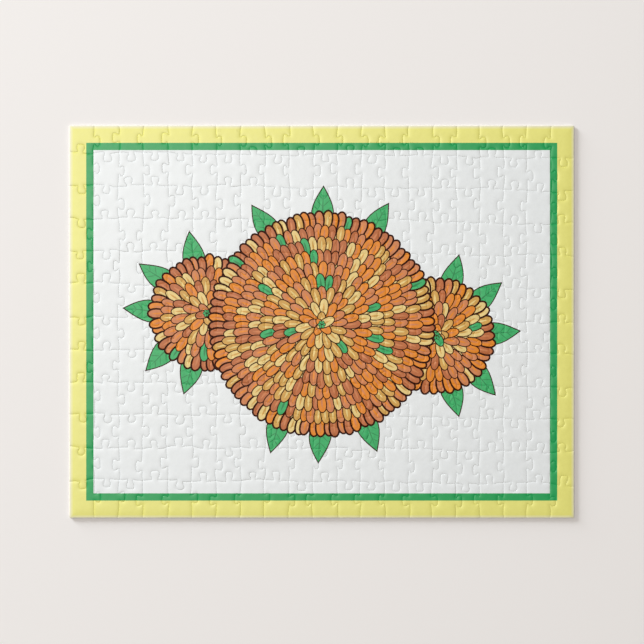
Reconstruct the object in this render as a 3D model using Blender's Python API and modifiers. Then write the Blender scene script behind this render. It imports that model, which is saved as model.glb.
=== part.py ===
"""A finished jigsaw puzzle, lying face up: printed greyboard, die-cut into interlocking pieces.

The board is cut as a steel-rule die cuts it. The rules along its length go right through and
part it into rows. The pieces of a row stay joined, so each row is one solid: the rules across the
board show in its face as a small slope, because every other column of pieces lies a little lower.
Units are metres, +Z is up, and the origin is the centre of the face that lies on the table.
"""

import math
import random

import bmesh
import bpy
from mathutils import Vector

MM = 0.001

# Driving dimensions
PUZZLE_LENGTH = 360 * MM
PUZZLE_WIDTH = 280 * MM
BOARD_THICKNESS = 1.9 * MM
COLUMNS = 21
ROWS = 12

# The even grid that the cuts are laid out on
STEP_ALONG = PUZZLE_LENGTH / COLUMNS
STEP_ACROSS = PUZZLE_WIDTH / ROWS

# The knobs that lock the pieces. The head and the neck are shares of the grid's step along the
# knob's edge, and the rise is a share of its step the other way. Each knob then has its own
# place, size and feet.
KNOB_HEAD = 0.31
KNOB_NECK = 0.225
KNOB_RISE = 0.265
KNOB_PLACE_SPREAD = 0.05
KNOB_SIZE_SPREAD = 0.08
KNOB_FOOT_SPREAD = 0.8 * MM

# How far the crossings of the cuts lie off the even grid: a drift that all rules share, widest
# halfway along the board for x and at its left end for y, and each crossing's own shift
DRIFT_X = 2.6 * MM
DRIFT_Y = 3.6 * MM
SHIFT_X = 0.8 * MM
SHIFT_Y = 1.2 * MM

# The cuts themselves. With this seed, all knobs of a piece keep clear of each other.
CUT_SEED = 12
THROUGH_CUT = 0.3 * MM
COLUMN_DROP = 0.25 * MM
RULE_OVERHANG = 2 * MM

# How near two points are welded into one
WELD_DISTANCE = 0.001 * MM

BOARD_COLOUR = (0.84, 0.84, 0.80, 1.0)
BOARD_ROUGHNESS = 0.45


def clear_scene():
    """Remove what the scene starts with."""
    for old in list(bpy.data.objects):
        bpy.data.objects.remove(old)


def new_collection(name):
    """An empty collection in the scene."""
    collection = bpy.data.collections.new(name)
    bpy.context.scene.collection.children.link(collection)
    return collection


def printed_board_material():
    """Coated paper on greyboard: pale and slightly glossy."""
    material = bpy.data.materials.new("printed_board")
    material.use_nodes = True
    shader = material.node_tree.nodes["Principled BSDF"]
    shader.inputs["Base Color"].default_value = BOARD_COLOUR
    shader.inputs["Roughness"].default_value = BOARD_ROUGHNESS
    shader.inputs["Metallic"].default_value = 0.0
    material.diffuse_color = BOARD_COLOUR
    return material


# ---------------------------------------------------------------- the cutting pattern


def cut_crossings(draw):
    """Where the cuts meet: an even grid whose inner crossings are each a little off."""
    crossings = {}
    for row in range(ROWS + 1):
        for column in range(COLUMNS + 1):
            turn = math.pi * column / COLUMNS
            shift_x = DRIFT_X * math.sin(turn) + draw.uniform(-SHIFT_X, SHIFT_X)
            shift_y = DRIFT_Y * math.cos(turn / 2) + draw.uniform(-SHIFT_Y, SHIFT_Y)
            if column in (0, COLUMNS):
                shift_x = 0
            if row in (0, ROWS):
                shift_y = 0
            x = (column - COLUMNS / 2) * STEP_ALONG + shift_x
            y = (row - ROWS / 2) * STEP_ACROSS + shift_y
            crossings[column, row] = Vector((x, y))
    return crossings


def draw_knob(draw):
    """One knob's place along its edge, size, feet, and the side that it points to.

    The feet are how far the left and the right end of its neck lie off the straight edge.
    """
    place = 0.5 + draw.uniform(-KNOB_PLACE_SPREAD, KNOB_PLACE_SPREAD)
    size = 1 + draw.uniform(-KNOB_SIZE_SPREAD, KNOB_SIZE_SPREAD)
    left_foot = draw.uniform(-KNOB_FOOT_SPREAD, KNOB_FOOT_SPREAD)
    right_foot = draw.uniform(-KNOB_FOOT_SPREAD, KNOB_FOOT_SPREAD)
    side = draw.choice((-1, 1))
    return place, size, left_foot, right_foot, side


def knob_corners(start, end, knob, step, cross_step):
    """The four corners of a dovetail knob on the edge from start to end."""
    place, size, left_foot, right_foot, side = knob
    along = (end - start).normalized()
    outward = Vector((-along.y, along.x)) * side
    middle = start.lerp(end, place)
    neck = along * KNOB_NECK * step / 2 * size
    head = along * KNOB_HEAD * step / 2 * size
    rise = outward * KNOB_RISE * cross_step * size
    return [middle - neck + outward * left_foot, middle - head + rise,
            middle + head + rise, middle + neck + outward * right_foot]


def trace_rule(crossings, draw, step, cross_step):
    """A rule from edge to edge of the board, past its border, with a knob between crossings."""
    direction = (crossings[-1] - crossings[0]).normalized()
    points = [crossings[0] - direction * RULE_OVERHANG]
    for start, end in zip(crossings, crossings[1:]):
        points += knob_corners(start, end, draw_knob(draw), step, cross_step)
    points.append(crossings[-1] + direction * RULE_OVERHANG)
    return points


def cut_lines():
    """The die's inner rules, as flat outlines: those along the board, then those across it."""
    draw = random.Random(CUT_SEED)
    crossings = cut_crossings(draw)
    lengthwise = []
    for row in range(1, ROWS):
        line = [crossings[column, row] for column in range(COLUMNS + 1)]
        lengthwise.append(trace_rule(line, draw, STEP_ALONG, STEP_ACROSS))
    crosswise = []
    for column in range(1, COLUMNS):
        line = [crossings[column, row] for row in range(ROWS + 1)]
        crosswise.append(trace_rule(line, draw, STEP_ACROSS, STEP_ALONG))
    return lengthwise, crosswise


# ---------------------------------------------------------------- the rules as cutters


def rule_curve(name, points, height):
    """A poly curve that follows a rule's outline at this height."""
    curve = bpy.data.curves.new(name, "CURVE")
    curve.dimensions = "3D"
    spline = curve.splines.new("POLY")
    spline.points.add(len(points) - 1)
    for spline_point, place in zip(spline.points, points):
        spline_point.co = (place.x, place.y, height, 1)
    return curve


def mesh_of(curve):
    """A curve's surface as a mesh with its loose caps welded on."""
    holder = bpy.data.objects.new(curve.name, curve)
    bpy.context.scene.collection.objects.link(holder)
    depsgraph = bpy.context.evaluated_depsgraph_get()
    mesh = bpy.data.meshes.new_from_object(holder.evaluated_get(depsgraph))
    bpy.data.objects.remove(holder)
    surface = bmesh.new()
    surface.from_mesh(mesh)
    bmesh.ops.remove_doubles(surface, verts=surface.verts, dist=WELD_DISTANCE)
    bmesh.ops.recalc_face_normals(surface, faces=surface.faces)
    surface.to_mesh(mesh)
    surface.free()
    return mesh


def make_cutter(name, mesh, collection):
    """An object that only cuts: it isn't rendered, and shows as wires."""
    cutter = bpy.data.objects.new(name, mesh)
    cutter.hide_render = True
    cutter.display_type = "WIRE"
    collection.objects.link(cutter)
    return cutter


def through_rule(name, points, collection):
    """A rule that cuts right through: an upright ribbon as thick as the cut."""
    curve = rule_curve(name, points, BOARD_THICKNESS / 2)
    curve.extrude = BOARD_THICKNESS
    cutter = make_cutter(name, mesh_of(curve), collection)
    blade = cutter.modifiers.new("blade", "SOLIDIFY")
    blade.thickness = THROUGH_CUT
    blade.offset = 0
    blade.use_even_offset = True


def column_sinker(name, left_rule, right_rule, collection):
    """A block that lowers the face between two crosswise rules.

    Its sides slope outwards at 45 degrees, to twice the height of the drop, so that the slope
    goes on past the face and leaves no rim there.
    """
    curve = rule_curve(name, left_rule + right_rule[::-1], 0)
    curve.dimensions = "2D"
    curve.fill_mode = "BOTH"
    curve.splines[0].use_cyclic_u = True
    curve.bevel_depth = 2 * COLUMN_DROP
    curve.bevel_resolution = 0
    curve.extrude = BOARD_THICKNESS
    sinker = make_cutter(name, mesh_of(curve), collection)
    lowest = min(vertex.co.z for vertex in sinker.data.vertices)
    sinker.location.z = BOARD_THICKNESS - COLUMN_DROP - lowest


# ---------------------------------------------------------------- the board and its rows


def uncut_board(collection):
    """The whole board as it goes under the die."""
    bpy.ops.mesh.primitive_cube_add(size=1, location=(0, 0, BOARD_THICKNESS / 2))
    board = bpy.context.object
    board.name = "board"
    board.scale = (PUZZLE_LENGTH, PUZZLE_WIDTH, BOARD_THICKNESS)
    bpy.ops.object.transform_apply(location=True, rotation=False, scale=True)
    board.users_collection[0].objects.unlink(board)
    collection.objects.link(board)
    board.data.materials.append(printed_board_material())
    return board


def cut_with(board, cutters):
    """Cut the board with every object of a collection."""
    die = board.modifiers.new("die", "BOOLEAN")
    die.operation = "DIFFERENCE"
    die.operand_type = "COLLECTION"
    die.collection = cutters
    die.solver = "EXACT"
    bpy.context.view_layer.objects.active = board
    bpy.ops.object.modifier_apply(modifier=die.name)


def place_across(strip):
    """Where a strip lies across the board, for sorting."""
    return sum(corner[1] for corner in strip.bound_box)


def part_into_rows(board, collection):
    """Each loose strip of the cut board becomes an object, named from the near side."""
    bpy.ops.object.select_all(action="DESELECT")
    board.select_set(True)
    bpy.context.view_layer.objects.active = board
    bpy.ops.mesh.separate(type="LOOSE")
    for number, strip in enumerate(sorted(collection.objects, key=place_across), start=1):
        strip.name = f"row_{number:02d}"
        strip.data.name = strip.name
        print(strip.name, len(strip.data.vertices), "vertices")


def main():
    clear_scene()
    puzzle = new_collection("jigsaw_puzzle")
    through_rules = new_collection("through_rules")
    column_sinkers = new_collection("column_sinkers")
    lengthwise, crosswise = cut_lines()
    for number, points in enumerate(lengthwise, start=1):
        through_rule(f"through_rule_{number:02d}", points, through_rules)
    sunk_columns = zip(crosswise[::2], crosswise[1::2])
    for number, (left_rule, right_rule) in enumerate(sunk_columns, start=1):
        column_sinker(f"column_sinker_{number:02d}", left_rule, right_rule, column_sinkers)
    board = uncut_board(puzzle)
    cut_with(board, column_sinkers)
    cut_with(board, through_rules)
    part_into_rows(board, puzzle)


main()
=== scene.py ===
# %% [markdown]
# # A finished jigsaw puzzle
#
# The puzzle lies face up on a table, with all its pieces locked together. It is printed paper
# glued to greyboard, and a steel-rule die has cut it into pieces. The solid model gives its true
# size as one strip for each row of pieces. This lesson keeps inside those strips and gives every
# piece what the strips lack: a face rolled down along its cuts, round knobs, bare board at its
# sides and its share of the print.

import math
import random

import bmesh
import bpy
import numpy as np
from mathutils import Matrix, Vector
from mathutils.geometry import delaunay_2d_cdt


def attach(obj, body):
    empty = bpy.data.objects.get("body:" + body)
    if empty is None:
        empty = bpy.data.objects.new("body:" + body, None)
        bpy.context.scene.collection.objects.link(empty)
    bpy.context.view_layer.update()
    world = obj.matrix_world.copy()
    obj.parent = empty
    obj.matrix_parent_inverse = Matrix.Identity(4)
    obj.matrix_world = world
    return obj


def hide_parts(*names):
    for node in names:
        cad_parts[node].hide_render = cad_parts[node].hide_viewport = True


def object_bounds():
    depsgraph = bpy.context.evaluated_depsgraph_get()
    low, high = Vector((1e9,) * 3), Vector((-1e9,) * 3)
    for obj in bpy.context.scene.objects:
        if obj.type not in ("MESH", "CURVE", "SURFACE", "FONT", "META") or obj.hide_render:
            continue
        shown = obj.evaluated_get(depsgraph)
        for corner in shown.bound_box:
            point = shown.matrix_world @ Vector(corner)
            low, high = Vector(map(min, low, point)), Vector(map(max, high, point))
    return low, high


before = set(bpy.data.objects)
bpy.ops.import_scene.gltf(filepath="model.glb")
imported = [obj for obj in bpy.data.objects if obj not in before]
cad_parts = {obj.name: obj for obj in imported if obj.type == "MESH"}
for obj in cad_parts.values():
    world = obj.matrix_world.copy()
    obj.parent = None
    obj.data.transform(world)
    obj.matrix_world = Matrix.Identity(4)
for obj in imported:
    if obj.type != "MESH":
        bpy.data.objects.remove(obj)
solid_low, solid_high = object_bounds()

MM = 0.001
length_mm = (solid_high[0] - solid_low[0]) / MM
width_mm = (solid_high[1] - solid_low[1]) / MM
thickness_mm = (solid_high[2] - solid_low[2]) / MM
row_nodes = sorted(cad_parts)
print(f"the puzzle is {length_mm:.0f} x {width_mm:.0f} x {thickness_mm:.1f} mm, in {len(row_nodes)} rows")

# %% [markdown]
# ## The camera
#
# The puzzle is seen from straight above, with no visible perspective. A long lens far away gives
# that view. An orthographic camera would too, but a real studio has no such lens. The picture
# shows a little more table than puzzle.

# %% Place the camera
VIEW_WIDTH = 459.5 * MM
CAMERA_HEIGHT = 2.2
SENSOR_WIDTH_MM = 36
VIEW_CENTRE = (0.2 * MM, -0.2 * MM)

camera_data = bpy.data.cameras.new("overhead_camera")
camera_data.sensor_width = SENSOR_WIDTH_MM
camera_data.lens = SENSOR_WIDTH_MM * CAMERA_HEIGHT / VIEW_WIDTH
camera = bpy.data.objects.new("overhead_camera", camera_data)
camera.location = (*VIEW_CENTRE, solid_high[2] + CAMERA_HEIGHT)
bpy.context.scene.collection.objects.link(camera)
bpy.context.scene.camera = camera
print(f"a {camera_data.lens:.0f} mm lens, {CAMERA_HEIGHT} m above the puzzle")

# %% [markdown]
# ## The light
#
# Three lights make a soft studio. A large window, low and far at the top left, draws the cuts: it
# brightens each slope that faces it and darkens each that faces away. Its daylight is a little
# cooler than the rest, so the shadows look warm. A softbox above the left side lights the print
# and leaves a faint shine there, as coated paper does. The world fills the rest evenly.

# %% Set up the lights
DAYLIGHT = (0.94, 1.0, 1.06)
ROOM_LIGHT = (1.03, 1.0, 0.967)
FILL_STRENGTH = 0.294
SOFTBOXES = {
    "window": {"place": (-3.6, 3.1, 1.0), "size": 2.2, "power": 396, "colour": DAYLIGHT},
    "overhead_softbox": {"place": (-0.45, 0.25, 2.7), "size": 0.9, "power": 23.5, "colour": ROOM_LIGHT},
}


def add_softbox(name, place, size, power, colour):
    """A square area light of this size that shines from its place on the middle of the puzzle."""
    lamp = bpy.data.lights.new(name, "AREA")
    lamp.color = colour
    lamp.shape = "SQUARE"
    lamp.size = size
    lamp.energy = power
    holder = bpy.data.objects.new(name, lamp)
    holder.location = place
    holder.rotation_euler = (-Vector(place)).to_track_quat("-Z", "Y").to_euler()
    bpy.context.scene.collection.objects.link(holder)


for name, look in SOFTBOXES.items():
    add_softbox(name, **look)

world = bpy.data.worlds.new("studio")
world.use_nodes = True
fill = world.node_tree.nodes["Background"]
fill.inputs["Color"].default_value = (*ROOM_LIGHT, 1)
fill.inputs["Strength"].default_value = FILL_STRENGTH
bpy.context.scene.world = world
bpy.context.scene.view_settings.view_transform = "Standard"

# %% [markdown]
# ## Colours and nodes
#
# Colours are written as they are on a screen, in sRGB hex. Blender's shaders work in linear
# light, so one function turns the one into the other. A second small function adds a shader node
# with its settings and links, and a third mixes two colours, which keeps each material short.

# %% Three helpers for materials
def ink_colour(hex_code):
    """An sRGB hex colour as linear RGBA."""
    channels = [int(hex_code[place:place + 2], 16) / 255 for place in (1, 3, 5)]
    linear = [c / 12.92 if c <= 0.04045 else ((c + 0.055) / 1.055) ** 2.4 for c in channels]
    return (*linear, 1)


def add_node(material, kind, settings=None, links=None):
    """Add a node. settings go to its properties or sockets, links join sockets to it."""
    node = material.node_tree.nodes.new(kind)
    for name, value in (settings or {}).items():
        if name in node.inputs:
            node.inputs[name].default_value = value
        else:
            setattr(node, name, value)
    for name, source in (links or {}).items():
        material.node_tree.links.new(source, node.inputs[name])
    return node


def mixed_colour(material, share, first, second):
    """A socket with the colour between two RGBA ones. A mix node's sockets go by number."""
    mix = add_node(material, "ShaderNodeMix", {"data_type": "RGBA"})
    mix.inputs[6].default_value = first
    mix.inputs[7].default_value = second
    material.node_tree.links.new(share, mix.inputs[0])
    return mix.outputs[2]


print("white paper is", [round(c, 2) for c in ink_colour("#F4F4F4")[:3]], "in linear light")

# %% [markdown]
# ## Printed paper
#
# The face is coated paper, offset-printed and pressed on to the board by a roller. The coating
# fills the fibres, so it is smooth and satin: roughness near 0.35, and the IOR of its clay and
# binder, 1.5. Two things keep it from looking like plastic. The ink lies a little unevenly, in
# blotches of a millimetre or two, and the board's fibres show through as a faint unevenness.
# Every ink is this one paper with another colour. Plain fields are flat tones. The picture is
# shaded like pencil work, and the more ink there is on the paper, the duller it dries.

# %% Make a printed paper of any colour
INK_BLOTCH = 2.2 * MM
PAPER_GRAIN = 0.9 * MM
BOARD_WAVE = 6 * MM
PAPER_SHOWS = 0.07
PAPER_IOR = 1.5
SMOOTHEST, ROUGHEST = 0.30, 0.38
GRAIN_BUMP = {"Strength": 0.25, "Distance": 0.014 * MM}
WAVE_BUMP = {"Strength": 0.5, "Distance": 0.1 * MM}


def printed_paper(name, hex_code, unevenness, gloss):
    """Coated paper with one ink on it, laid this unevenly and with this much gloss."""
    material = bpy.data.materials.new(name)
    material.use_nodes = True
    shader = material.node_tree.nodes["Principled BSDF"]
    shader.inputs["IOR"].default_value = PAPER_IOR
    shader.inputs["Specular IOR Level"].default_value = gloss
    place = add_node(material, "ShaderNodeTexCoord")
    blotches = add_node(material, "ShaderNodeTexNoise",
                        {"Scale": 1 / INK_BLOTCH, "Detail": 3.0, "Roughness": 0.6},
                        {"Vector": place.outputs["Object"]})
    colour = ink_colour(hex_code)
    thin_ink = [min(1, channel * (1 + unevenness) + unevenness * PAPER_SHOWS) for channel in colour[:3]]
    full_ink = [channel * (1 - unevenness) for channel in colour[:3]]
    ink = mixed_colour(material, blotches.outputs["Fac"], (*full_ink, 1), (*thin_ink, 1))
    material.node_tree.links.new(ink, shader.inputs["Base Color"])
    satin = add_node(material, "ShaderNodeMapRange",
                     {"To Min": SMOOTHEST, "To Max": ROUGHEST}, {"Value": blotches.outputs["Fac"]})
    material.node_tree.links.new(satin.outputs["Result"], shader.inputs["Roughness"])
    grain = add_node(material, "ShaderNodeTexNoise", {"Scale": 1 / PAPER_GRAIN, "Detail": 2.0},
                     {"Vector": place.outputs["Object"]})
    wave = add_node(material, "ShaderNodeTexNoise", {"Scale": 1 / BOARD_WAVE, "Detail": 1.0},
                    {"Vector": place.outputs["Object"]})
    fine = add_node(material, "ShaderNodeBump", GRAIN_BUMP, {"Height": grain.outputs["Fac"]})
    broad = add_node(material, "ShaderNodeBump", WAVE_BUMP,
                     {"Height": wave.outputs["Fac"], "Normal": fine.outputs["Normal"]})
    material.node_tree.links.new(broad.outputs["Normal"], shader.inputs["Normal"])
    return material


EVEN, FLAT_TONE, SHADED = 0.0, 0.04, 0.24
SATIN, SOFT, DULL, MATT = 0.5, 0.38, 0.25, 0.05
INKS = {
    "bare": ("#E5DFC4", FLAT_TONE, SATIN),
    # The next two paler yellows are wear plus a painted highlight of the rolled border edge.
    "worn_and_highlit_yellow": ("#E9E4B4", FLAT_TONE, SATIN),
    "thin_and_highlit_yellow": ("#E8E294", FLAT_TONE, SATIN),
    "yellow": ("#E7E177", FLAT_TONE, SATIN),
    "green": ("#069D50", FLAT_TONE, SOFT),
    "white": ("#E6E8E7", FLAT_TONE, SATIN),
    "orange": ("#E4850A", SHADED, DULL),
    "salmon": ("#CD7D49", SHADED, DULL),
    "rust": ("#B96530", SHADED, DULL),
    "gold": ("#D29F48", SHADED, DULL),
    "straw": ("#E8CA80", SHADED, DULL),
    "leaf": ("#33AC62", SHADED, DULL),
    "vein": ("#1B8246", SHADED, DULL),
    "line": ("#360E00", EVEN, MATT),
}
papers = {name: printed_paper(f"coated_paper_{name}_ink", *look) for name, look in INKS.items()}
print(len(papers), "inks on coated paper")

# %% [markdown]
# ## Greyboard and its backing
#
# The core is greyboard, recycled fibre pressed in sheets and left raw where the die has cut it.
# It is dull, with a roughness near 0.9, and its layers show as fine streaks along the cut. The
# underside is thin plain paper, grey-white, with stray fibres.

# %% Make the board's own materials
LAYER_STEP = 0.25 * MM
FIBRE_LENGTH = 3 * MM
BACKING_FIBRE = 1.2 * MM
FIBRE_ROUGHNESS = 0.9
FIBRE_IOR = 1.47
FIBRE_BUMP = {"Strength": 0.6, "Distance": 0.08 * MM}
ALONG_LAYERS = (LAYER_STEP / FIBRE_LENGTH, LAYER_STEP / FIBRE_LENGTH, 1)
ALL_WAYS = (1, 1, 1)


def raw_fibre(name, hex_dark, hex_light, stretch, step):
    """Uncoated fibre, dark and light in streaks: stretch gives each axis its own scale."""
    material = bpy.data.materials.new(name)
    material.use_nodes = True
    shader = material.node_tree.nodes["Principled BSDF"]
    shader.inputs["Roughness"].default_value = FIBRE_ROUGHNESS
    shader.inputs["IOR"].default_value = FIBRE_IOR
    place = add_node(material, "ShaderNodeTexCoord")
    streak_place = add_node(material, "ShaderNodeMapping", {"Scale": stretch},
                            {"Vector": place.outputs["Object"]})
    streaks = add_node(material, "ShaderNodeTexNoise", {"Scale": 1 / step, "Detail": 4.0},
                       {"Vector": streak_place.outputs["Vector"]})
    fibre = mixed_colour(material, streaks.outputs["Fac"], ink_colour(hex_dark), ink_colour(hex_light))
    material.node_tree.links.new(fibre, shader.inputs["Base Color"])
    rough = add_node(material, "ShaderNodeBump", FIBRE_BUMP, {"Height": streaks.outputs["Fac"]})
    material.node_tree.links.new(rough.outputs["Normal"], shader.inputs["Normal"])
    return material


greyboard = raw_fibre("raw_greyboard_edge", "#968F82", "#C9C4B7", ALONG_LAYERS, LAYER_STEP)
backing = raw_fibre("plain_backing_paper", "#BDBAB2", "#DAD8D2", ALL_WAYS, BACKING_FIBRE)
print("board materials:", greyboard.name, backing.name)

# %% [markdown]
# ## The die's grid
#
# A die maker bends steel rules by hand or machine, so no two knobs are alike and the rules cross
# a little off the even grid. The solid model draws its cuts with this seed and in this order: the
# crossings first, then the knobs of the rules along the board, then those across it. The same
# draws here put every piece where the solid has it. The flat drawing is in millimetres.

# %% Draw the crossings and the knobs
COLUMNS = 21
ROWS = len(row_nodes)
CUT_SEED = 12
STEP_ALONG = length_mm / COLUMNS
STEP_ACROSS = width_mm / ROWS
DRIFT_X, DRIFT_Y = 2.6, 3.6
SHIFT_X, SHIFT_Y = 0.8, 1.2
KNOB_PLACE_SPREAD = 0.05
KNOB_SIZE_SPREAD = 0.08
KNOB_FOOT_SPREAD = 0.8


def draw_knob(draw):
    """A knob's place along its edge, its size, its two feet, and the side that it points to."""
    place = 0.5 + draw.uniform(-KNOB_PLACE_SPREAD, KNOB_PLACE_SPREAD)
    size = 1 + draw.uniform(-KNOB_SIZE_SPREAD, KNOB_SIZE_SPREAD)
    feet = [draw.uniform(-KNOB_FOOT_SPREAD, KNOB_FOOT_SPREAD) for _ in range(2)]
    side = draw.choice((-1, 1))
    return place, size, feet, side


cut_draw = random.Random(CUT_SEED)
crossings = {}
for row in range(ROWS + 1):
    for column in range(COLUMNS + 1):
        turn = math.pi * column / COLUMNS
        shift_x = DRIFT_X * math.sin(turn) + cut_draw.uniform(-SHIFT_X, SHIFT_X)
        shift_y = DRIFT_Y * math.cos(turn / 2) + cut_draw.uniform(-SHIFT_Y, SHIFT_Y)
        x = (column - COLUMNS / 2) * STEP_ALONG + (0 if column in (0, COLUMNS) else shift_x)
        y = (row - ROWS / 2) * STEP_ACROSS + (0 if row in (0, ROWS) else shift_y)
        crossings[column, row] = Vector((x, y))

knobs = {}
for row in range(1, ROWS):
    for column in range(COLUMNS):
        knobs["along", column, row] = draw_knob(cut_draw)
for column in range(1, COLUMNS):
    for row in range(ROWS):
        knobs["across", column, row] = draw_knob(cut_draw)
print(len(crossings), "crossings and", len(knobs), "knobs for", COLUMNS * ROWS, "pieces")

# %% [markdown]
# ## One cut edge
#
# An edge runs from one crossing to the next: a slightly bowed line, a small round shoulder, the
# head of the knob and the same back. A head is between an ellipse and a rounded square, so it is
# drawn as a superellipse, whose one exponent goes from the first to the second. Points computed
# this way give smooth knobs with few points, where a Bezier curve would need handles set by hand.
# Each foot of a knob lies a little off the straight edge, so the lines beside it run aslant.

# %% Trace an edge with its knob
KNOB_HEAD = 0.31
KNOB_NECK = 0.225
KNOB_RISE = 0.265
SHOULDER = 0.45
FOOT_FADE = 0.6
TAPER_PIVOT = 0.6
SHOULDER_STEPS = 3
HEAD_STEPS = 16
LINE_STEPS = 4
FORM_SPREADS = {
    "head": (0.95, 1.08),
    "neck": (0.98, 1.16),
    "round": (0.36, 0.46),
    "square": (2.0, 3.8),
    "taper": (-0.06, 0.26),
    "lean": (-0.14, 0.14),
    "left_bow": (-0.5, 0.5),
    "right_bow": (-0.5, 0.5),
}


def heading(angle):
    """The flat unit vector at this angle from the x axis."""
    return Vector((math.cos(angle), math.sin(angle)))


def left_of(direction):
    """A flat vector turned left by a right angle."""
    return Vector((-direction.y, direction.x))


def draw_form(draw):
    """What the solid model leaves out of a knob: its proportions, lean and bow."""
    return {name: draw.uniform(*spread) for name, spread in FORM_SPREADS.items()}


def signed_power(value, power):
    """A power of the value's size, with the value's own sign."""
    return math.copysign(abs(value) ** power, value)


def knob_outline(size, feet, form, step, cross_step):
    """The knob from its left shoulder to its right one, standing on its feet."""
    head = KNOB_HEAD * step / 2 * size * form["head"]
    neck = KNOB_NECK * step / 2 * size * form["neck"]
    rise = KNOB_RISE * cross_step * size
    half_rise = rise * form["round"]
    middle = rise - half_rise
    power = 2 / form["square"]
    below = math.acos((neck / head) ** (1 / power))
    shoulder = min(SHOULDER, middle - half_rise * math.sin(below) ** power)
    points = []
    for number in range(SHOULDER_STEPS):
        turn = math.pi / 2 * (number / SHOULDER_STEPS - 1)
        points.append((-neck - shoulder + shoulder * math.cos(turn), shoulder + shoulder * math.sin(turn)))
    for number in range(HEAD_STEPS + 1):
        turn = math.pi + below - number / HEAD_STEPS * (math.pi + 2 * below)
        points.append((head * signed_power(math.cos(turn), power),
                       middle + half_rise * signed_power(math.sin(turn), power)))
    points += [(-x, y) for x, y in reversed(points[:SHOULDER_STEPS])]
    shaped = []
    for x, y in points:
        foot = feet[0] if x < 0 else feet[1]
        widening = 1 + form["taper"] * (y / rise - TAPER_PIVOT)
        shaped.append((x * widening + form["lean"] * y, y + foot * max(0, 1 - y / rise / FOOT_FADE)))
    return shaped


def bowed_line(start, end, bow, outward):
    """Points from start up to, but not at, end."""
    line = []
    for step in range(LINE_STEPS):
        share = step / LINE_STEPS
        line.append(start.lerp(end, share) + outward * bow * math.sin(math.pi * share))
    return line


def cut_edge(start, end, knob, form, step, cross_step):
    """The whole edge, from start to end."""
    place, size, feet, side = knob
    along = (end - start).normalized()
    outward = left_of(along) * side
    foot = start.lerp(end, place)
    outline = knob_outline(size, feet, form, step, cross_step)
    raised = [foot + along * x + outward * y for x, y in outline]
    left = bowed_line(start, raised[0], form["left_bow"], outward)
    right = bowed_line(end, raised[-1], form["right_bow"], outward)
    return left + raised + right[::-1]


form_draw = random.Random(CUT_SEED + 1)
edges = {}
for way, column, row in knobs:
    start = crossings[column, row]
    end = crossings[(column + 1, row) if way == "along" else (column, row + 1)]
    steps = (STEP_ALONG, STEP_ACROSS) if way == "along" else (STEP_ACROSS, STEP_ALONG)
    knob = knobs[way, column, row]
    edges[way, column, row] = cut_edge(start, end, knob, draw_form(form_draw), *steps)
print("an edge has", len(edges["along", 0, 1]), "points")

# %% [markdown]
# ## One piece's outline
#
# A piece takes its four edges in turn, anticlockwise, two of them backwards. A side on the
# border of the puzzle has no cut and is straight. The steel rule has some thickness, so each
# outline is drawn in by half of that. Drawing an outline in is also how the next step gets the
# lines along which the face bends.

# %% Join edges into outlines
HALF_CUT = 0.006
CORNER_RADIUS = 0.9
CORNER_STEPS = 4
SHARPEST_MITRE = 0.5


def edge_of(way, column, row):
    """A cut edge, or the straight side of the board where there is no cut."""
    if (way, column, row) in edges:
        return edges[way, column, row]
    far = (column + 1, row) if way == "along" else (column, row + 1)
    return [crossings[column, row], crossings[far]]


def on_border(point, reach=1e-3):
    """Which sides of the board this point lies on: one value for x and one for y."""
    return (abs(abs(point.x) - length_mm / 2) < reach, abs(abs(point.y) - width_mm / 2) < reach)


def board_corner(point):
    """The board's corner at this point as a small arc, anticlockwise."""
    pivot = Vector((point.x - math.copysign(CORNER_RADIUS, point.x),
                    point.y - math.copysign(CORNER_RADIUS, point.y)))
    first = math.atan2(point.y - pivot.y, point.x - pivot.x) - math.pi / 4
    turns = [first + math.pi / 2 * step / CORNER_STEPS for step in range(CORNER_STEPS + 1)]
    return [pivot + heading(turn) * CORNER_RADIUS for turn in turns]


def piece_outline(column, row):
    """The piece's cut line, anticlockwise from its lower left corner."""
    below = edge_of("along", column, row)
    right = edge_of("across", column + 1, row)
    above = edge_of("along", column, row + 1)
    left = edge_of("across", column, row)
    outline = []
    for point in below[:-1] + right[:-1] + above[::-1][:-1] + left[::-1][:-1]:
        outline += board_corner(point) if all(on_border(point)) else [point]
    return outline


def drawn_in(outline, distance):
    """The outline moved inwards, except where it is the border of the board."""
    moved = []
    for before, here, after in zip(outline[-1:] + outline[:-1], outline, outline[1:] + outline[:1]):
        first = (here - before).normalized()
        second = (after - here).normalized()
        inward = Vector((-first.y - second.y, first.x + second.x))
        inward /= max(SHARPEST_MITRE, 1 + first.dot(second))
        keep_x, keep_y = on_border(here)
        moved.append(Vector((here.x + (0 if keep_x else inward.x * distance),
                             here.y + (0 if keep_y else inward.y * distance))))
    return moved


outlines = {(column, row): piece_outline(column, row) for row in range(ROWS) for column in range(COLUMNS)}
print("the longest outline has", max(len(outline) for outline in outlines.values()), "points")

# %% [markdown]
# ## The print's plain fields
#
# The sheet is a yellow border, a green line and a white field, all in flat colour. Along the
# trimmed rim the ink wears thin down to bare paper. The two paler yellow bands there are partly
# that wear and partly a painted highlight of the rolled edge. They are set off centre so that they
# are wider on the left and top, the sides that face the window. The print could be a picture
# wrapped over the puzzle, but a picture blurs close up and a shape doesn't. So the print is a
# list of shapes from back to front, and each piece will later cut its own face along them, as if
# the inks were inlaid.

# %% Start the print
BARE_RIM = 0.5
# The worn and thin bands are wear plus a painted highlight; the shift paints them wider on the left and
# top, facing the window.
WORN_HIGHLIT_RIM = 1.15
THIN_HIGHLIT_RIM = 2.1
HIGHLIT_SIDE_SHIFT = (0.25, -0.2)
SIDE_BORDER, END_BORDER = 11.95, 12.35
FRAME_LINE = 5.2

print_shapes = []


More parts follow.
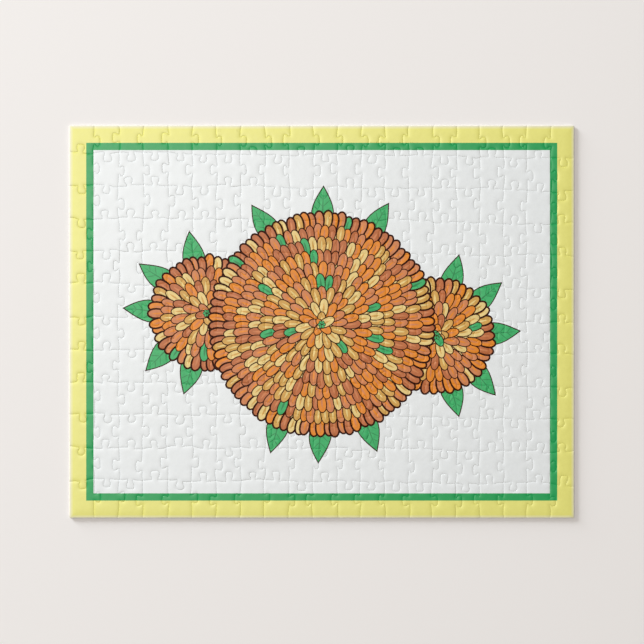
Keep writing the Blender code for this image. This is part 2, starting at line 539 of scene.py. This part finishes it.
def lay_ink(ink, points):
    """Put a shape on top of the print so far."""
    xs = [point.x for point in points]
    ys = [point.y for point in points]
    print_shapes.append({"ink": ink, "points": points, "reach": (min(xs), min(ys), max(xs), max(ys))})


def rectangle(left, bottom, right, top):
    """A rectangle's corners, anticlockwise."""
    return [Vector(corner) for corner in ((left, bottom), (right, bottom), (right, top), (left, top))]


def field(ink, side_margin, end_margin, off=(0, 0)):
    """A rectangle this far in from the board's sides and ends, and this far off its centre."""
    x, y = length_mm / 2 - side_margin, width_mm / 2 - end_margin
    lay_ink(ink, [corner + Vector(off) for corner in rectangle(-x, -y, x, y)])


# Painted highlight: the paler bands along the rim stand for the rolled edge catching the light, wider on
# the left and top.
field("worn_and_highlit_yellow", BARE_RIM, BARE_RIM, HIGHLIT_SIDE_SHIFT)
field("thin_and_highlit_yellow", WORN_HIGHLIT_RIM, WORN_HIGHLIT_RIM, HIGHLIT_SIDE_SHIFT)
field("yellow", THIN_HIGHLIT_RIM, THIN_HIGHLIT_RIM, HIGHLIT_SIDE_SHIFT)
field("green", SIDE_BORDER, END_BORDER)
field("white", SIDE_BORDER + FRAME_LINE, END_BORDER + FRAME_LINE)
print("fields:", [shape["ink"] for shape in print_shapes])

# %% [markdown]
# ## Leaves
#
# The picture is a plain bunch of flowers: any maker could draw it. A leaf is pointed at both
# ends, so its half width follows a sine from one end to the other. It is laid in three layers: a
# little larger in the dark line ink, then in green, then its ribs.

# %% Draw a leaf
LINE_WEIGHT = 0.72
LEAF_STEPS = 10
LEAF_FULLNESS = 0.85
RIB_PLACES = (0.25, 0.42, 0.59, 0.74)
RIB_ANGLE = 0.8
RIB_REACH = 0.42
RIB_WIDTH = 0.55
MIDRIB_LENGTH = 0.96
MIDRIB_WIDTH = 0.9


def blade(base, angle, length, width, grow=0.0, bend=0.0):
    """A leaf-shaped outline from its base: pointed at both ends, wider by grow all round."""
    forward = heading(angle)
    across = left_of(forward)
    points = []
    for side in (-1, 1):
        for step in range(LEAF_STEPS):
            share = step / LEAF_STEPS if side < 0 else 1 - step / LEAF_STEPS
            along = -grow * 2 + share * (length + grow * 4)
            half = (width / 2 + grow) * math.sin(math.pi * share ** LEAF_FULLNESS)
            spine = bend * length * math.sin(math.pi * share / 2) ** 2
            points.append(base + forward * along + across * (side * half + spine))
    return points


def leaf(base, angle, length, width, bend):
    """A leaf with its outline, midrib and side ribs."""
    lay_ink("line", blade(base, angle, length, width, LINE_WEIGHT, bend))
    lay_ink("leaf", blade(base, angle, length, width, 0, bend))
    forward = heading(angle)
    across = left_of(forward)
    for share in RIB_PLACES:
        spine = bend * length * math.sin(math.pi * share / 2) ** 2
        root = base + forward * length * share + across * spine
        reach = width * RIB_REACH * math.sin(math.pi * share ** LEAF_FULLNESS)
        for side in (-1, 1):
            lay_ink("vein", blade(root, angle + side * RIB_ANGLE, reach / math.sin(RIB_ANGLE), RIB_WIDTH))
    lay_ink("vein", blade(base, angle, length * MIDRIB_LENGTH, MIDRIB_WIDTH, 0, bend))


print("a leaf outline has", len(blade(Vector((0, 0)), 0, 30, 12)), "points")

# %% [markdown]
# ## Blooms
#
# Each bloom is a dahlia: rings of oval petals, the outer ones laid first so that the inner ones
# cover their feet. Every petal is a dark outline, a field of colour and a lighter or darker
# stroke. A seeded draw picks the colours, more gold near the centre and more rust at the rim, so
# the result is the same each time.

# %% Draw a bloom
PETAL_LENGTH = 13.0
PETAL_WIDTH = 5.4
PETAL_STEPS = 18
PETAL_SWELL = 0.18
PETAL_SIZES = (0.9, 1.08)
STROKE_START, STROKE_LENGTH, STROKE_WIDTH = 0.3, 0.62, 0.24
RING_STEP = 8.6
RING_SPACING = 0.96 * PETAL_WIDTH
FEWEST_PETALS = 5
INNERMOST_RING, INNERMOST_REACH = 2.5, 1.5
STRAY_ANGLE, STRAY_REACH, STRAY_TWIST = 0.25, 0.9, 0.12
RIM_WEIGHT = 1.3
DISC_STEPS = 60
BUD_COUNT = 6
BUD_REACH = 1.5
BUD_OUTLINE, BUD_SIZE = (3.0, 2.4), (2.2, 1.6)
GREEN_SHARE = 0.03
STROKE = {"orange": "salmon", "salmon": "orange", "rust": "salmon", "gold": "straw", "straw": "gold",
          "leaf": "vein"}
NEAR_COLOURS = ("straw", "gold", "gold", "orange", "salmon")
FAR_COLOURS = ("orange", "orange", "salmon", "salmon", "rust", "rust", "gold", "straw")


def oval(centre, angle, length, width):
    """An egg: an ellipse whose outer half is wider."""
    forward = heading(angle)
    across = left_of(forward)
    points = []
    for step in range(PETAL_STEPS):
        turn = math.tau * step / PETAL_STEPS
        swell = 1 + PETAL_SWELL * math.cos(turn)
        points.append(centre + forward * length / 2 * math.cos(turn)
                      + across * width / 2 * math.sin(turn) * swell)
    return points


def petal(centre, angle, size, ink, weight):
    """One petal: its outline, its colour and a stroke along it."""
    length, width = PETAL_LENGTH * size, PETAL_WIDTH * size
    lay_ink("line", oval(centre, angle, length + 2 * weight, width + 2 * weight))
    lay_ink(ink, oval(centre, angle, length, width))
    foot = centre - heading(angle) * length * STROKE_START
    lay_ink(STROKE[ink], blade(foot, angle, length * STROKE_LENGTH, width * STROKE_WIDTH))


def bloom(centre, radius, draw):
    """A disc, rings of petals from the rim inwards, then an eye of green buds."""
    rings = round(radius / RING_STEP)
    lay_ink("straw", [centre + heading(turn) * (radius - PETAL_LENGTH / 2)
                      for turn in np.linspace(0, math.tau, DISC_STEPS, endpoint=False)])
    for ring in range(rings, 0, -1):
        middle = radius * ring / rings - PETAL_LENGTH / 2
        count = max(FEWEST_PETALS, round(math.tau * max(middle, INNERMOST_RING) / RING_SPACING))
        start = draw.uniform(0, math.tau)
        for number in range(count):
            stray = draw.uniform(-STRAY_ANGLE, STRAY_ANGLE) / max(4, count / 4)
            angle = start + math.tau * number / count + stray
            reach = max(middle, INNERMOST_REACH) + draw.uniform(-STRAY_REACH, STRAY_REACH)
            near = draw.random() > ring / rings
            ink = draw.choice(NEAR_COLOURS if near else FAR_COLOURS)
            if draw.random() < GREEN_SHARE:
                ink = "leaf"
            twist = draw.uniform(-STRAY_TWIST, STRAY_TWIST)
            size = draw.uniform(*PETAL_SIZES)
            weight = RIM_WEIGHT if ring == rings else LINE_WEIGHT
            petal(centre + heading(angle) * reach, angle + twist, size, ink, weight)
    for number in range(BUD_COUNT):
        angle = math.tau * number / BUD_COUNT
        spot = centre + heading(angle) * BUD_REACH
        lay_ink("line", oval(spot, angle, *BUD_OUTLINE))
        lay_ink("leaf", oval(spot, angle, *BUD_SIZE))


print("colours of a petal:", ", ".join(STROKE))

# %% [markdown]
# ## The picture
#
# One large bloom in the middle covers the inner sides of two small ones, and leaves fan out from
# behind each. What lies behind is laid first.

# %% Compose the picture
PICTURE_SEED = 14
SIDE_BLOOMS = ((Vector((-82, 6)), 41), (Vector((82, -10)), 41))
SIDE_LEAF_TURNS = (-75, -40, 0, 40, 75)
SIDE_LEAF_STRAY = 0.15
MAIN_CENTRE, MAIN_RADIUS = Vector((0, -2)), 80
MAIN_LEAF_TURNS = (62, 90, 118, 245, 270, 295)
MAIN_LEAF_STRAY = 0.2
LEAF_LENGTH, LEAF_WIDTH = 34, 15
LEAF_BEND = 0.08
LEAF_TUCK = 16


def fan_of_leaves(centre, radius, facing, turns, stray, draw):
    """Leaves that point out from behind a bloom, each turned this many degrees off one way."""
    for turn in turns:
        angle = facing + math.radians(turn)
        base = centre + heading(angle) * (radius - LEAF_TUCK)
        pointing = angle + draw.uniform(-stray, stray)
        leaf(base, pointing, LEAF_LENGTH, LEAF_WIDTH, draw.uniform(-LEAF_BEND, LEAF_BEND))


picture_draw = random.Random(PICTURE_SEED)
for centre, radius in SIDE_BLOOMS:
    outwards = 0 if centre.x > 0 else math.pi
    fan_of_leaves(centre, radius, outwards, SIDE_LEAF_TURNS, SIDE_LEAF_STRAY, picture_draw)
for centre, radius in SIDE_BLOOMS:
    bloom(centre, radius, picture_draw)
fan_of_leaves(MAIN_CENTRE, MAIN_RADIUS, 0, MAIN_LEAF_TURNS, MAIN_LEAF_STRAY, picture_draw)
bloom(MAIN_CENTRE, MAIN_RADIUS, picture_draw)
print(len(print_shapes), "shapes in the print")

# %% [markdown]
# ## The relief of a face
#
# The die presses the paper down as it cuts. A face falls steepest over the last millimetre and a
# half before a cut, and the board under it gives way over three, so a piece looks like a flat
# cushion. All along the yellow border and the green line the die presses firmer, and the outer
# sides of the board roll over wider still. The depth of a point depends only on how far it is
# from the cut and from the side, so one formula gives all of it: each part is a parabola that
# falls to the edge.

# %% Work out how deep a point lies
NIP_REACH, NIP_DROP = 1.6, 0.050
CUSHION_REACH, CUSHION_DROP = 3.2, 0.056
BORDER_REACH, BORDER_DROP = 7.5, 0.21
FIRM_WIDTH, FIRM_FADE, FIRM_PRESS = 17.0, 3.0, 1.42
NO_LENGTH = 1e-12


def nearest_places(points, starts, ends):
    """For each point, the nearest place on any of these straight lines, by numpy."""
    way = ends - starts
    square = np.maximum((way ** 2).sum(1), NO_LENGTH)
    share = np.clip(((points[:, None, :] - starts[None]) * way[None]).sum(2) / square, 0, 1)
    places = starts[None] + share[..., None] * way[None]
    nearest = ((points[:, None, :] - places) ** 2).sum(2).argmin(1)
    return places[np.arange(len(points)), nearest]


def sunk(distance, reach, drop):
    """How far a point at this distance from an edge is pressed down."""
    return drop * np.clip(1 - distance / reach, 0, 1) ** 2


def cut_distance(points, outline):
    """How far each point is from the nearest cut of its piece."""
    corners = np.array([point[:] for point in outline])
    following = np.roll(corners, -1, 0)
    x_side = np.isclose(np.abs(corners[:, 0]), length_mm / 2) & np.isclose(corners[:, 0], following[:, 0])
    y_side = np.isclose(np.abs(corners[:, 1]), width_mm / 2) & np.isclose(corners[:, 1], following[:, 1])
    cut = ~(x_side | y_side)
    return np.linalg.norm(points - nearest_places(points, corners[cut], following[cut]), axis=1)


def face_depth(points, outline):
    """How far below the level part each point of a piece's face lies."""
    to_cut = cut_distance(points, outline)
    to_side = np.minimum(length_mm / 2 - np.abs(points[:, 0]), width_mm / 2 - np.abs(points[:, 1]))
    firm = np.clip((FIRM_WIDTH + FIRM_FADE - to_side) / FIRM_FADE, 0, 1)
    at_cut = sunk(to_cut, NIP_REACH, NIP_DROP) + sunk(to_cut, CUSHION_REACH, CUSHION_DROP)
    return at_cut * (1 + (FIRM_PRESS - 1) * firm) + sunk(to_side, BORDER_REACH, BORDER_DROP)


print(f"a cut sinks the face by {NIP_DROP + CUSHION_DROP:.2f} mm, the border by {BORDER_DROP} mm")

# %% [markdown]
# ## Cutting a face along its print
#
# Blender's constrained triangulation takes the outline, the bend lines and every shape of print
# that reaches the piece, and returns triangles that cross none of them. It also says which shapes
# a triangle lies in. The last of those is the ink on top. A Boolean for each shape would give the
# same, many times slower.

# %% Triangulate one face
NIP_LINES = (0.2, 0.5, 0.95)
BORDER_LINES = (0.4, 1.0, 1.8, 2.9, 4.2)
CUSHION_STEP = 1.3
CUSHION_GAP = 0.45 * CUSHION_STEP
LONGEST_STEP = 1.4
PIECE_MARGIN = 2
WHOLE_HULL = 0
WELD = 1e-4


def ring_edges(first, count):
    """The lines between the numbers of a closed ring's points."""
    return [(first + step, first + (step + 1) % count) for step in range(count)]


def near(shape, low, high):
    """Whether a shape of print may touch this box."""
    left, bottom, right, top = shape["reach"]
    return left < high[0] and right > low[0] and bottom < high[1] and top > low[1]


def clipped(shape, low, high):
    """A large rectangle only as far as it reaches over this box; other shapes as they are."""
    if len(shape["points"]) > 4:
        return shape["points"]
    left, bottom = max(shape["reach"][0], low[0]), max(shape["reach"][1], low[1])
    right, top = min(shape["reach"][2], high[0]), min(shape["reach"][3], high[1])
    return rectangle(left, bottom, right, top)


def stepped(points, closed=True):
    """The same line with points added, so that no step of it is long: the relief needs them."""
    stepped_line = []
    for start, end in zip(points, points[1:] + points[:1] if closed else points[1:]):
        count = max(1, math.ceil((end - start).length / LONGEST_STEP))
        stepped_line += [start.lerp(end, step / count) for step in range(count)]
    return stepped_line if closed else stepped_line + points[-1:]


def cushion_points(outline, low, high):
    """An even grid of points over the piece, only where the rings along the cuts don't reach."""
    xs = np.arange(low[0], high[0], CUSHION_STEP)
    ys = np.arange(low[1], high[1], CUSHION_STEP)
    grid = np.array([(x, y) for x in xs for y in ys])
    free = cut_distance(grid, outline) > NIP_LINES[-1] + CUSHION_GAP
    return [Vector(point) for point in grid[free]]


def inked_face(outline):
    """The face's points, its triangles and the ink of each triangle."""
    low = (min(p.x for p in outline) - PIECE_MARGIN, min(p.y for p in outline) - PIECE_MARGIN)
    high = (max(p.x for p in outline) + PIECE_MARGIN, max(p.y for p in outline) + PIECE_MARGIN)
    points, faces, lines = list(outline), [list(range(len(outline)))], []
    for inset in NIP_LINES:
        ring = drawn_in(outline, inset)
        lines += ring_edges(len(points), len(ring))
        points += ring
    points += cushion_points(outline, low, high)
    for inset in BORDER_LINES:
        x, y = length_mm / 2 - inset, width_mm / 2 - inset
        for start, end in (((-x, low[1]), (-x, high[1])), ((x, low[1]), (x, high[1])),
                           ((low[0], -y), (high[0], -y)), ((low[0], y), (high[0], y))):
            if low[0] <= start[0] <= high[0] and low[1] <= start[1] <= high[1]:
                line = stepped([Vector(start), Vector(end)], closed=False)
                lines += [(len(points) + n, len(points) + n + 1) for n in range(len(line) - 1)]
                points += line
    inks = [None]
    for shape in print_shapes:
        if near(shape, low, high):
            shape_points = stepped(clipped(shape, low, high))
            faces.append(list(range(len(points), len(points) + len(shape_points))))
            points += shape_points
            inks.append(shape["ink"])
    found, _, triangles, _, _, sources = delaunay_2d_cdt(points, lines, faces, WHOLE_HULL, WELD)
    kept = [(triangle, inks[max(source)] or "bare")
            for triangle, source in zip(triangles, sources) if source and min(source) == 0]
    return found, kept


_, sample_triangles = inked_face(drawn_in(outlines[10, 6], HALF_CUT))
print("a piece in the middle has", len(sample_triangles), "triangles on its face")

# %% [markdown]
# ## Building the pieces of a row
#
# A piece lies almost level: each one is a hair higher or lower than its neighbours and tips a
# little, as pressed pieces do. Its face goes into a mesh, the open border of the face is drawn
# down for the sides, and a flat face with a slightly worn edge closes the back. The pieces of a
# row share one mesh, because the solid model has one strip for them.

# %% Build a row of pieces
LEVEL_SPREAD = 0.012
TIP_SPREAD = 0.002
BACK_ROUND = 0.12
slots = [*papers.values(), greyboard, backing]
slot_of = {name: number for number, name in enumerate(papers)}
GREYBOARD_SLOT, BACKING_SLOT = len(papers), len(papers) + 1


def drawn_out(mesh, rim, slot):
    """Faces drawn out of an open rim, in one material: returns the new rim and its corners."""
    grown = bmesh.ops.extrude_edge_only(mesh, edges=rim)["geom"]
    corners = [part for part in grown if isinstance(part, bmesh.types.BMVert)]
    new = set(corners)
    new_rim = []
    for part in grown:
        if isinstance(part, bmesh.types.BMFace):
            part.material_index = slot
        elif isinstance(part, bmesh.types.BMEdge) and all(vert in new for vert in part.verts):
            new_rim.append(part)
    return new_rim, corners


def add_piece(mesh, outline, draw):
    """Add one piece to the mesh: its inked face, its raw sides and its back."""
    points, triangles = inked_face(outline)
    flat = np.array([point[:] for point in points])
    depth = face_depth(flat, outline)
    middle = np.array([sum(p.x for p in outline), sum(p.y for p in outline)]) / len(outline)
    tip = np.array([draw.uniform(-TIP_SPREAD, TIP_SPREAD), draw.uniform(-TIP_SPREAD, TIP_SPREAD)])
    lean = (flat - middle) @ tip
    used = sorted({number for triangle, _ in triangles for number in triangle})
    level = thickness_mm - np.abs(lean[used]).max() - draw.uniform(0, LEVEL_SPREAD)
    height = level + lean - depth
    face_corners = {n: mesh.verts.new((flat[n, 0] * MM, flat[n, 1] * MM, height[n] * MM)) for n in used}
    top_faces = []
    for triangle, ink in triangles:
        face = mesh.faces.new([face_corners[number] for number in triangle])
        face.material_index = slot_of[ink]
        face.smooth = True
        top_faces.append(face)
    rim = [edge for face in top_faces for edge in face.edges if len(edge.link_faces) == 1]
    low_rim, low_corners = drawn_out(mesh, rim, GREYBOARD_SLOT)
    for corner in low_corners:
        corner.co.z = BACK_ROUND * MM
    back_rim, back_corners = drawn_out(mesh, low_rim, BACKING_SLOT)
    worn_line = np.array([point[:] for point in drawn_in(outline, BACK_ROUND)])
    straight_down = np.array([corner.co[:2] for corner in back_corners]) / MM
    back_places = nearest_places(straight_down, worn_line, np.roll(worn_line, -1, 0))
    for corner, place in zip(back_corners, back_places):
        corner.co = (place[0] * MM, place[1] * MM, 0)
    for face in bmesh.ops.edgeloop_fill(mesh, edges=back_rim)["faces"]:
        face.material_index = BACKING_SLOT


def build_row(row, draw):
    """One row of pieces as an object."""
    mesh = bmesh.new()
    for column in range(COLUMNS):
        add_piece(mesh, drawn_in(outlines[column, row], HALF_CUT), draw)
    bmesh.ops.recalc_face_normals(mesh, faces=mesh.faces)
    name = f"{row_nodes[row]}_pieces"
    data = bpy.data.meshes.new(name)
    mesh.to_mesh(data)
    mesh.free()
    for material in slots:
        data.materials.append(material)
    holder = bpy.data.objects.new(name, data)
    bpy.context.scene.collection.objects.link(holder)
    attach(holder, "root")
    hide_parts(row_nodes[row])
    return holder


print("slots:", len(slots))

# %% Build all the rows
level_draw = random.Random(CUT_SEED + 2)
strips = [build_row(row, level_draw) for row in range(ROWS)]
face_counts = [len(strip.data.polygons) for strip in strips]
print("faces in each row:", face_counts, "in all:", sum(face_counts))

# %% [markdown]
# ## The table
#
# A plain pale table, matt and very slightly warm. It lies a hair below the puzzle's back, because
# two faces at one height would flicker. It belongs to the studio and not to the puzzle.

# %% Lay the table
TABLE_SIZE = 8
TABLE_CLEARANCE = 0.02 * MM
TABLE_COLOUR = "#F3EEEA"
TABLE_ROUGHNESS = 0.85

bpy.ops.mesh.primitive_plane_add(size=TABLE_SIZE, location=(0, 0, -TABLE_CLEARANCE))
table = bpy.context.object
table.name = "table"
table_paint = bpy.data.materials.new("matt_table_paint")
table_paint.use_nodes = True
table_shader = table_paint.node_tree.nodes["Principled BSDF"]
table_shader.inputs["Base Color"].default_value = ink_colour(TABLE_COLOUR)
table_shader.inputs["Roughness"].default_value = TABLE_ROUGHNESS
table.data.materials.append(table_paint)
print("the table is", table.dimensions[0], "m wide")
